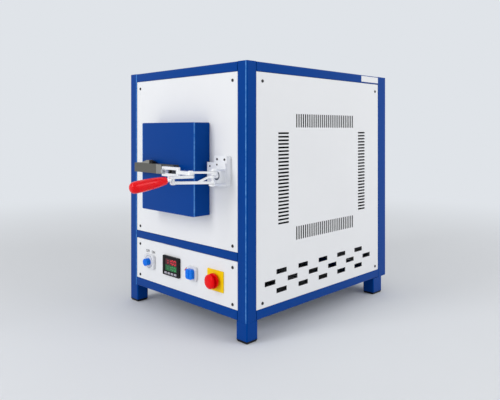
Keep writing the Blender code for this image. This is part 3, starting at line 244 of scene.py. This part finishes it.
glass_green = lit("display_green", srgb(14, 78, 40), 0.4)
glass_red = lit("display_red", srgb(56, 4, 14), 0.35)


def board():
    """Fibre board: pale felted faces, and painted shade, near black, on its outer sides."""
    made, tree, shader, out = finish("fibre_board", srgb(232, 227, 214), 0.95, mottle=0.05, mottle_scale=50,
                                     grain=700, grain_depth=0.5, specular=0.1)
    side = span(tree, size_of(tree, object_axes(tree).outputs["X"]), 0.0, 1.0, SHADE_START, SHADE_START + MM)
    # Painted shade: the outer sides are coloured near black where they lie in shadow
    lay_over(tree, shader, out, side, 30, srgb(22, 23, 26), srgb(36, 38, 42))
    return made


def paint_with_painted_highlights(name, inner, outer, front):
    """The frame's paint, with painted highlights: paler in upright bands from inner to outer, left and right,
    on the front faces.
    """
    made, tree, shader, out = blue(name)
    axes = object_axes(tree)
    across = size_of(tree, axes.outputs["X"])
    begun = span(tree, across, 0.0, 1.0, inner, inner + HIGHLIGHT_FADE)
    unended = span(tree, across, 1.0, 0.0, outer, outer + HIGHLIGHT_FADE)
    face = span(tree, axes.outputs["Y"], 1.0, 0.0, front, front + HIGHLIGHT_FACE_FADE)
    highlight_band = product(tree, product(tree, begun, unended), face)
    # Painted highlight: pale blue over the paint along the rounded upright edges
    lay_over(tree, shader, out, highlight_band, 120, srgb(40, 104, 184), srgb(92, 150, 214))
    return made


def slotted_sheet():
    """White paint on the right sheet's outer face, and painted shade, near black, on its slots' cut edges and
    inner face.
    """
    made, tree, shader, out = finish("slotted_sheet", srgb(238, 239, 241), 0.42, mottle=0.012, mottle_scale=4,
                                     grain=1700, grain_depth=0.03, specular=0.3)
    edge = span(tree, object_axes(tree).outputs["X"], 1.0, 0.0, SHADE_BELOW, SHADE_BELOW + SHADE_BELOW_FADE)
    # Painted shade: near black on the cut edges and the inner face
    lay_over(tree, shader, out, edge, 200, srgb(44, 45, 48), srgb(62, 63, 66))
    return made


# The fibre board's outer sides get painted shade
looks["fibre"] = board()
for row in frame["record"]["subparts"]:
    obj = nodes[row["node"]]
    for place in range(len(obj.material_slots)):
        obj.material_slots[place].link = "OBJECT"
        obj.material_slots[place].material = looks[row["material_slot"]]
for name in ("key_1", "key_2", "key_3", "key_4"):
    nodes[name].material_slots[0].material = key_face
# Painted highlights on the upright edges of the door and the two front posts
nodes["door_shell"].material_slots[0].material = paint_with_painted_highlights("door_blue", 0.1005, 0.2, -0.2274)
# The right sheet's slots get painted shade
nodes["right_panel"].material_slots[0].material = slotted_sheet()
nodes["post_front_right"].material_slots[0].material = paint_with_painted_highlights("near_post_blue", 0.2206, 0.2236, -0.1838)
nodes["post_front_left"].material_slots[0].material = paint_with_painted_highlights("far_post_blue", 0.1962, 0.1994, -0.1838)

# Rounded edges on the carried-over solids
rounding = {
    "post": 2.4, "rail": 1.0, "leg": 1.2, "foot": 0.8, "front_panel": 0.5, "control_panel": 0.4,
    "rear_panel": 0.5,
    "top_panel": 0.5, "door_shell": 2.2, "door_arm": 0.7, "hinge_bracket": 0.5, "clamp_block": 0.8,
    "clamp_base": 0.5, "clamp_arm": 0.6, "clamp_handle": 0.6, "clamp_link": 0.6, "power_switch_bezel": 0.5,
    "selector_bezel": 0.6, "controller": 0.7, "stop_plate": 0.5, "power_switch_knob": 0.7,
    "selector_knob": 1.0,
    "stop_head": 0.6, "key": 0.4, "hearth": 1.5, "muffle": 1.5, "door_insulation": 1.5,
}
for name, obj in nodes.items():
    width = next((w for start, w in rounding.items() if name.startswith(start)), None)
    if width is None:
        continue
    weld = obj.modifiers.new("weld", "WELD")
    weld.merge_threshold = 0.00002
    bevel = obj.modifiers.new("bevel", "BEVEL")
    bevel.width = width * MM
    bevel.segments = 3
    bevel.limit_method = "ANGLE"
    bevel.angle_limit = math.radians(40)
    bevel.use_clamp_overlap = True
    bevel.harden_normals = True


# Mesh helpers

def frame_of(axis, around=None):
    """Two directions square to the axis."""
    axis = axis.normalized()
    side = around or (UP if abs(axis.z) < 0.9 else RIGHT)
    first = side.cross(axis).normalized()
    return first, axis.cross(first).normalized()


def turn(bm, profile, origin, axis, segments=32, around=None):
    """Turns (radius, height) millimetres about the axis. A third value of 6 makes that ring a hexagon."""
    first, second = frame_of(axis, around)
    axis = axis.normalized()
    rings = []
    for spot in profile:
        radius, height = spot[0] * MM, spot[1] * MM
        sides = spot[2] if len(spot) > 2 else 0
        centre = origin + axis * height
        if radius == 0:
            rings.append([bm.verts.new(centre)])
            continue
        ring = []
        for k in range(segments):
            angle = 2 * math.pi * k / segments
            r = radius
            if sides:
                part = 2 * math.pi / sides
                r = radius / math.cos((angle % part) - part / 2)
            ring.append(bm.verts.new(centre + first * (r * math.cos(angle)) + second * (r * math.sin(angle))))
        rings.append(ring)
    for low, high in zip(rings, rings[1:]):
        for k in range(segments):
            j = (k + 1) % segments
            if len(low) == 1:
                bm.faces.new((low[0], high[j], high[k]))
            elif len(high) == 1:
                bm.faces.new((low[k], low[j], high[0]))
            else:
                bm.faces.new((low[k], low[j], high[j], high[k]))


def slab(bm, outline, origin, across, up, depth):
    """A flat outline in millimetres, pulled out by depth millimetres along across x up."""
    out = across.cross(up).normalized() * (depth * MM)
    low = [bm.verts.new(origin + across * (x * MM) + up * (z * MM)) for x, z in outline]
    high = [bm.verts.new(v.co + out) for v in low]
    count = len(outline)
    bm.faces.new(list(reversed(low)))
    bm.faces.new(high)
    for k in range(count):
        j = (k + 1) % count
        bm.faces.new((low[k], low[j], high[j], high[k]))


def rounded(width, height, radius, steps=5):
    """A rectangle with round corners, centred on zero."""
    points = []
    for sx, sz, start in ((1, 1, 0), (-1, 1, 90), (-1, -1, 180), (1, -1, 270)):
        for k in range(steps + 1):
            angle = math.radians(start + 90 * k / steps)
            points.append((sx * (width / 2 - radius) + radius * math.cos(angle),
                           sz * (height / 2 - radius) + radius * math.sin(angle)))
    return points


def piece(name, bm, look, body, edge=None, sharp=35):
    bmesh.ops.remove_doubles(bm, verts=bm.verts, dist=1e-6)
    bmesh.ops.recalc_face_normals(bm, faces=bm.faces)
    mesh = bpy.data.meshes.new(name)
    bm.to_mesh(mesh)
    bm.free()
    for polygon in mesh.polygons:
        polygon.use_smooth = True
    obj = bpy.data.objects.new(name, mesh)
    scene.collection.objects.link(obj)
    mesh.materials.append(look)
    if edge:
        bevel = obj.modifiers.new("bevel", "BEVEL")
        bevel.width = edge * MM
        bevel.segments = 2
        bevel.limit_method = "ANGLE"
        bevel.angle_limit = math.radians(sharp)
        bevel.harden_normals = True
    mesh.set_sharp_from_angle(angle=math.radians(sharp))
    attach(obj, body)
    return obj


# Button-head screws with their hexagon sockets
BUTTON = [(3.6, -0.2), (3.6, 0.5), (3.45, 0.95), (3.0, 1.4), (2.3, 1.75), (1.6, 1.9), (1.25, 1.92, 6),
          (1.15, 1.8, 6), (1.1, 0.7, 6), (0, 0.55)]


def screws(name, places, axis, size=1.0):
    bm = bmesh.new()
    for place in places:
        turn(bm, [(s[0] * size, s[1] * size) + tuple(s[2:]) for s in BUTTON], place, axis, 24)
    return piece(name, bm, dark_metal, "cabinet")


front_rows = (574.5, 207, 159.5, 77.5)
screws("front_screws", [at(sx * 180, z, SHEET_STAND) for sx in (-1, 1) for z in front_rows], FRONT)
for side, axis in ((1, RIGHT), (-1, LEFT)):
    spots = [Vector((side * SIDE_SHEET, y, z)) for y in (-0.1342, 0.3286) for z in (0.5732, 0.079)]
    screws("right_screws" if side > 0 else "left_screws", spots, axis)
screws("rear_screws", [Vector((sx * 0.18, 0.383, z)) for sx in (-1, 1) for z in (0.5732, 0.079)], BACK)
screws("top_screws", [Vector((sx * 0.183, y, 0.6145)) for sx in (-1, 1) for y in (-0.0793, 0.2693)], UP)

# The bare plate on the right top rail
bm = bmesh.new()
slab(bm, rounded(84, 16, 1.5), Vector((0.226, 0.3, 0.605)), BACK, UP, 0.5)
piece("blank_plate", bm, looks["white_paint"], "cabinet", 0.15)

# The controller's window and its figures
SEGMENTS = {"0": "abcdef", "1": "bc", "2": "abged", "3": "abgcd", "4": "fgbc", "5": "afgcd", "6": "afgedc",
            "7": "abc", "8": "abcdefg", "9": "abcdfg"}


def figures(bm, text, x, z, stand, high, wide, gap, thick):
    half = high / 2
    bars = {"a": (0, high, 1), "g": (0, half, 1), "d": (0, 0, 1), "f": (0, half, 0), "b": (wide, half, 0),
            "e": (0, 0, 0), "c": (wide, 0, 0)}
    t = thick / 2
    for k, sign in enumerate(text):
        left = x + k * (wide + gap)
        for bar in SEGMENTS.get(sign, ""):
            bx, bz, flat = bars[bar]
            if flat:
                outline = [(t, 0), (2 * t, t), (wide - 2 * t, t), (wide - t, 0), (wide - 2 * t, -t),
                           (2 * t, -t)]
            else:
                outline = [(0, t), (t, 2 * t), (t, half - 2 * t), (0, half - t), (-t, half - 2 * t),
                           (-t, 2 * t)]
            spots = [(left + bx + px, z + bz + pz) for px, pz in outline]
            if not flat:
                spots = spots[::-1]
            slab(bm, spots[::-1], at(0, 0, stand), RIGHT, UP, 0.12)


def window(name, x, z, stand, width, height, radius, depth, look):
    bm = bmesh.new()
    slab(bm, rounded(width, height, radius), at(x, z, stand), RIGHT, UP, depth)
    return piece(name, bm, look, "cabinet")


window("display_upper", -40, 133.3, 3.02, 46, 14.6, 0.6, 0.15, glass_red)
window("display_lower", -40, 118, 3.02, 46, 14.4, 0.6, 0.15, glass_green)
bm = bmesh.new()
figures(bm, "1100", -58.5, 128.2, 3.2, 10.6, 6.6, 3.9, 1.7)
piece("upper_figures", bm, digit_red, "cabinet")
bm = bmesh.new()
figures(bm, "1100", -57.5, 113.8, 3.2, 8.6, 5.6, 4.8, 1.4)
piece("lower_figures", bm, digit_green, "cabinet")


def words(name, text, x, z, stand, size, look):
    curve = bpy.data.curves.new(name, "FONT")
    curve.body = text
    curve.size = size * MM
    curve.extrude = 0.00006
    curve.offset = 0.00022
    curve.align_x = "CENTER"
    maker = bpy.data.objects.new(name + "_maker", curve)
    scene.collection.objects.link(maker)
    bpy.context.view_layer.update()
    mesh = bpy.data.meshes.new_from_object(maker.evaluated_get(bpy.context.evaluated_depsgraph_get()))
    bpy.data.objects.remove(maker)
    mesh.transform(Matrix.Translation(at(x, z, stand)) @ Matrix.Rotation(math.radians(90), 4, "X"))
    mesh.materials.clear()
    mesh.materials.append(look)
    obj = bpy.data.objects.new(name, mesh)
    scene.collection.objects.link(obj)
    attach(obj, "cabinet")
    return obj


words("off_word", "OFF", -145, 142.4, -0.96, 9.5, print_ink)
words("on_word", "ON", -120.5, 142.4, -0.96, 9.5, print_ink)

# Ring and ticks of the power switch, and the selector's red mark
bm = bmesh.new()
turn(bm, [(15.0, -0.2), (16.1, -0.2), (16.1, 0.25), (15.9, 0.4), (15.2, 0.4), (15.0, 0.25), (15.0, -0.2)],
     at(-132, 120.5, 5.8), FRONT, 48)
piece("power_ring", bm, ring_grey, "cabinet")
bm = bmesh.new()
for x in (-140, -124):
    slab(bm, [(-0.4, -1.0), (0.4, -1.0), (0.4, 1.0), (-0.4, 1.0)], at(x, 136.2, 5.78), RIGHT, UP, 0.1)
piece("power_ticks", bm, print_ink, "cabinet")
bm = bmesh.new()
slab(bm, [(-0.9, 0.9), (0.9, -0.9), (8.6, 6.8), (6.8, 8.6)], at(10, 122.5, -1.02), RIGHT, UP, 0.12)
piece("selector_mark", bm, red_mark, "cabinet")

# The door's lug, and the rubber on the buffer and the spindle's pad
bm = bmesh.new()
slab(bm, [(-88.8, ARM_HIGH), (-59.4, 391), (-49.3, 391.4), (-49.3, ARM_HIGH)], at(0, 0, 50), RIGHT, UP, 12)
piece("door_lug", bm, cover_steel, "door", 0.6)
bm = bmesh.new()
slab(bm, [(-35, ARM_HIGH), (-38, 388.5), (-49.4, 390.6), (-49.4, ARM_HIGH)], at(0, 0, 50.5), RIGHT, UP, 11)
piece("door_lug_stop", bm, rubber, "door", 0.6)
bm = bmesh.new()
slab(bm, [(-23.5, ARM_LOW), (-15.5, ARM_LOW), (-15.5, ARM_HIGH), (-23.5, ARM_HIGH)], at(0, 0, 63.9),
     RIGHT, UP, 1.0)
piece("arm_cover_edge", bm, looks["grey_steel"], "door", 0.35)
bm = bmesh.new()
slab(bm, [(-16, ARM_LOW), (5, ARM_LOW), (5, ARM_HIGH), (-16, ARM_HIGH)], at(0, 0, 64.2), RIGHT, UP, 1.1)
piece("arm_cover", bm, cover_steel, "door", 0.35)
bm = bmesh.new()
slab(bm, rounded(42, 16, 2), at(24, 371.5, 62), RIGHT, UP, 2.2)
piece("buffer_face", bm, rubber, "door", 0.4)

# The clamp's rubber pad, the dish in its flange, and its screws
bm = bmesh.new()
turn(bm, [(0, 0.1), (5.6, 0.1), (6.4, 0.8), (6.4, 2.4), (5.9, 3.0), (0, 3.0)], at(33, 369.5, 64.3), FRONT, 32)
piece("spindle_rubber", bm, rubber, "clamp_arm")

dish_centre = at(145.5, 362.5, FLANGE_STAND)
bm = bmesh.new()
turn(bm, [(12.2, -0.3), (12.2, 0.7), (11.8, 1.2), (11.0, 1.3), (10.4, 0.6), (7.4, 0.35)], dish_centre,
     FRONT, 48)
turn(bm, [(7.4, 0.35), (6.6, 0.3), (6.2, 0.9), (5.0, 1.3), (0, 1.5)], dish_centre, FRONT, 48)
piece("flange_dish", bm, looks["zinc"], "cabinet")
# Painted shade: the dish's groove is coloured dark grey-blue for the shade in its hollow
bm = bmesh.new()
turn(bm, [(10.6, 0.5), (10.3, 0.75), (7.2, 0.66), (6.9, 0.3)], dish_centre, FRONT, 48)
piece("flange_dish_groove", bm, dish_painted_shade, "cabinet")

block_spots = ((143.4, 398.8), (167.8, 398.6), (145.1, 344.7), (161.7, 347))
screws("clamp_screws", [at(x, z, BLOCK_STAND) for x, z in block_spots], FRONT, size=0.75)
flange_spots = ((122.6, 382.7), (146.4, 386.9))
screws("flange_screws", [at(x, z, FLANGE_STAND) for x, z in flange_spots], FRONT, size=0.6)

# Stage, camera and light

SHOWN = srgb(224, 228, 233)
floor_colour = srgb(230, 233, 237)


def seen_rays(tree):
    """1 for camera, glossy and transmission rays."""
    path = tree.nodes.new("ShaderNodeLightPath")
    total = path.outputs["Is Camera Ray"]
    for name in ("Is Glossy Ray", "Is Transmission Ray"):
        joined = tree.nodes.new("ShaderNodeMath")
        joined.operation = "MAXIMUM"
        tree.links.new(total, joined.inputs[0])
        tree.links.new(path.outputs[name], joined.inputs[1])
        total = joined.outputs["Value"]
    return total


bm = bmesh.new()
bmesh.ops.create_grid(bm, x_segments=24, y_segments=24, size=14)
mesh = bpy.data.meshes.new("floor")
bm.to_mesh(mesh)
bm.free()
floor = bpy.data.objects.new("floor", mesh)
scene.collection.objects.link(floor)
made = bpy.data.materials.new("floor")
made.use_nodes = True
tree = made.node_tree
shader = tree.nodes["Principled BSDF"]
shader.inputs["Roughness"].default_value = 0.75
shader.inputs["Specular IOR Level"].default_value = 0.1
drift = texture(tree, "ShaderNodeTexNoise", 1.5, Detail=2.0)
tree.links.new(ramp(tree, drift.outputs["Fac"], [(0.3, scaled(floor_colour, 0.985)), (0.7, floor_colour)]),
               shader.inputs["Base Color"])
coord = tree.nodes.new("ShaderNodeTexCoord")
reach = tree.nodes.new("ShaderNodeVectorMath")
reach.operation = "LENGTH"
tree.links.new(coord.outputs["Object"], reach.inputs[0])
far = tree.nodes.new("ShaderNodeMapRange")
far.interpolation_type = "SMOOTHSTEP"
far.inputs["From Min"].default_value = 0.7
far.inputs["From Max"].default_value = 2.6
tree.links.new(reach.outputs["Value"], far.inputs["Value"])
share = tree.nodes.new("ShaderNodeMath")
share.operation = "MULTIPLY"
tree.links.new(far.outputs["Result"], share.inputs[0])
tree.links.new(seen_rays(tree), share.inputs[1])
glow = add(tree, "ShaderNodeEmission", Color=SHOWN, Strength=1.0)
mix = tree.nodes.new("ShaderNodeMixShader")
tree.links.new(share.outputs["Value"], mix.inputs["Fac"])
tree.links.new(shader.outputs["BSDF"], mix.inputs[1])
tree.links.new(glow.outputs["Emission"], mix.inputs[2])
tree.links.new(mix.outputs["Shader"], tree.nodes["Material Output"].inputs["Surface"])
mesh.materials.append(made)

world = bpy.data.worlds.new("studio")
scene.world = world
world.use_nodes = True
tree = world.node_tree
tree.nodes.clear()
soft = add(tree, "ShaderNodeBackground", Color=srgb(255, 255, 255), Strength=0.62)
shown = add(tree, "ShaderNodeBackground", Color=SHOWN, Strength=1.0)
mix = tree.nodes.new("ShaderNodeMixShader")
tree.links.new(seen_rays(tree), mix.inputs["Fac"])
tree.links.new(soft.outputs["Background"], mix.inputs[1])
tree.links.new(shown.outputs["Background"], mix.inputs[2])
output = tree.nodes.new("ShaderNodeOutputWorld")
tree.links.new(mix.outputs["Shader"], output.inputs["Surface"])


def lamp(name, place, target, size, power):
    data = bpy.data.lights.new(name, "AREA")
    data.shape = "RECTANGLE"
    data.size, data.size_y = size
    data.energy = power
    obj = bpy.data.objects.new(name, data)
    obj.location = place
    obj.rotation_euler = (Vector(target) - Vector(place)).to_track_quat("-Z", "Y").to_euler()
    scene.collection.objects.link(obj)


lamp("key", (-0.5, -2.5, 1.35), (0, 0, 0.3), (0.8, 2.1), 27)
lamp("fill_right", (2.3, 0.9, 1.5), (0, 0.1, 0.35), (1.4, 1.6), 19)

camera_data = bpy.data.cameras.new("camera")
camera_data.lens = 38.84
camera_data.sensor_width = 36
camera_data.shift_y = -0.1396
camera = bpy.data.objects.new("camera", camera_data)
camera.location = (1.0494, -1.0049, 0.4639)
camera.rotation_euler = (math.radians(90), 0, math.radians(44.7613))
scene.collection.objects.link(camera)
scene.camera = camera
scene.view_settings.view_transform = "Standard"

bpy.context.view_layer.update()
